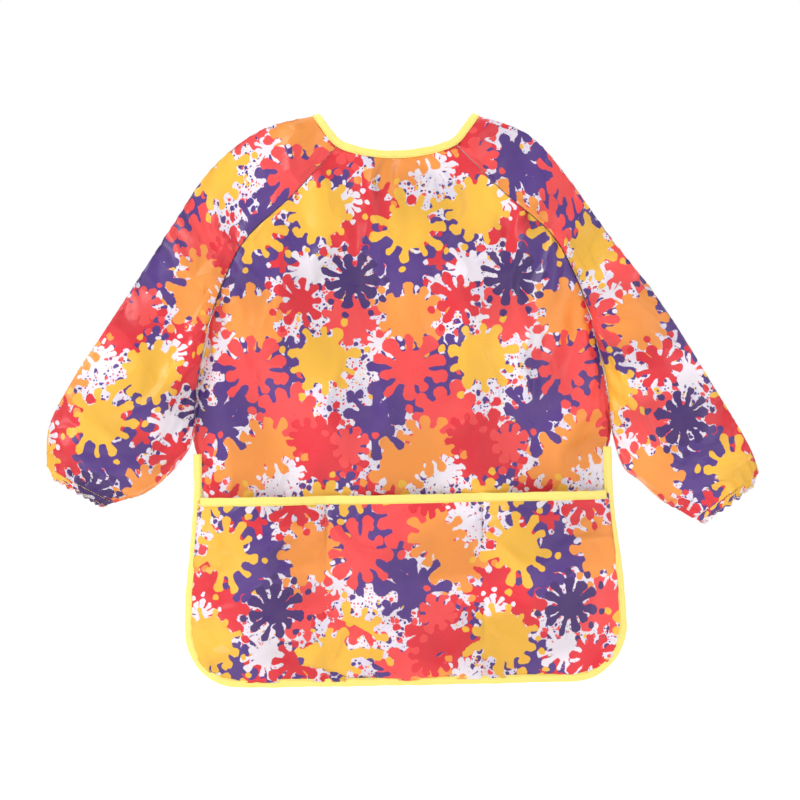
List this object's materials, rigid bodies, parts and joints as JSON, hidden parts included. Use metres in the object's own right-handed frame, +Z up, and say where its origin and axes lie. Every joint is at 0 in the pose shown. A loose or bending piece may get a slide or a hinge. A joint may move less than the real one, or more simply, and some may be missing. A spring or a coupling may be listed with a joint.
{
  "type": "artist smock apron",
  "caption": "Long-sleeved child's painting smock of printed waterproof cloth with elastic cuffs, an open back, an apron skirt and a bound pocket panel.",
  "frame": {"origin": "middle of the neck opening, level with the shoulder tops, between front and back", "axes": "+X to the right as seen from the front, +Y to the back, +Z up; the front faces -Y"},
  "size_m": [0.676, 0.1062, 0.5419],
  "materials": {
    "splash_print_cloth": "thin coated polyester with a soft sheen, printed with paint splashes in yellow, orange, red and purple on lilac white",
    "yellow_binding": "folded pale yellow satin tape, stitched along its inner edge",
    "cuff_elastic": "flat woven elastic, off-white",
    "sewing_thread": "yellow polyester thread, lockstitch",
    "hook_and_loop": "off-white hook-and-loop tape, matt"
  },
  "bodies": {
    "root": {"front_bodice": "splash_print_cloth", "waist_fold": "splash_print_cloth", "neck_binding": "yellow_binding", "left_sleeve_shoulder": "splash_print_cloth", "left_sleeve_fold": "splash_print_cloth", "left_back_panel": "splash_print_cloth", "left_back_hem_binding": "yellow_binding", "right_sleeve_shoulder": "splash_print_cloth", "right_sleeve_fold": "splash_print_cloth", "right_back_panel": "splash_print_cloth", "right_back_hem_binding": "yellow_binding"},
    "skirt": {"front_skirt": "splash_print_cloth", "pocket_panel": "splash_print_cloth", "pocket_top_binding": "yellow_binding", "hem_binding": "yellow_binding", "pocket_divider_stitching_left": "sewing_thread", "pocket_divider_stitching_right": "sewing_thread"},
    "left_arm": {"left_sleeve": "splash_print_cloth", "left_cuff_casing": "splash_print_cloth", "left_cuff_elastic": "cuff_elastic", "left_cuff_hem": "splash_print_cloth"},
    "right_arm": {"right_sleeve": "splash_print_cloth", "right_cuff_casing": "splash_print_cloth", "right_cuff_elastic": "cuff_elastic", "right_cuff_hem": "splash_print_cloth"},
    "left_flap": {"left_back_flap": "splash_print_cloth", "left_flap_edge_binding": "yellow_binding", "left_flap_neck_binding": "yellow_binding", "left_flap_hem_binding": "yellow_binding", "hook_tab": "hook_and_loop"},
    "right_flap": {"right_back_flap": "splash_print_cloth", "right_flap_edge_binding": "yellow_binding", "right_flap_neck_binding": "yellow_binding", "right_flap_hem_binding": "yellow_binding", "loop_patch": "hook_and_loop"}
  },
  "joints": [
    {"name": "skirt_lift", "type": "hinge", "parent": "root", "child": "skirt", "pos_m": [0, -0.024, -0.328], "axis": [-1, 0, 0], "range_deg": [-10, 80], "deforming": ["waist_fold"]},
    {"name": "right_arm_swing", "type": "hinge", "parent": "root", "child": "right_arm", "pos_m": [0.2117, 0, -0.1875], "axis": [-0.8656, 0, -0.5007], "range_deg": [-20, 80], "deforming": ["right_sleeve_fold"]},
    {"name": "left_arm_swing", "type": "hinge", "parent": "root", "child": "left_arm", "pos_m": [-0.2182, 0, -0.1815], "axis": [-0.8401, 0, 0.5424], "range_deg": [-20, 80], "deforming": ["left_sleeve_fold"]},
    {"name": "right_flap_swing", "type": "hinge", "parent": "root", "child": "right_flap", "pos_m": [0.05, 0.0235, -0.18], "axis": [0, 0, -1], "range_deg": [-40, 70]},
    {"name": "left_flap_swing", "type": "hinge", "parent": "root", "child": "left_flap", "pos_m": [-0.05, 0.0235, -0.18], "axis": [0, 0, 1], "range_deg": [-40, 70]}
  ]
}
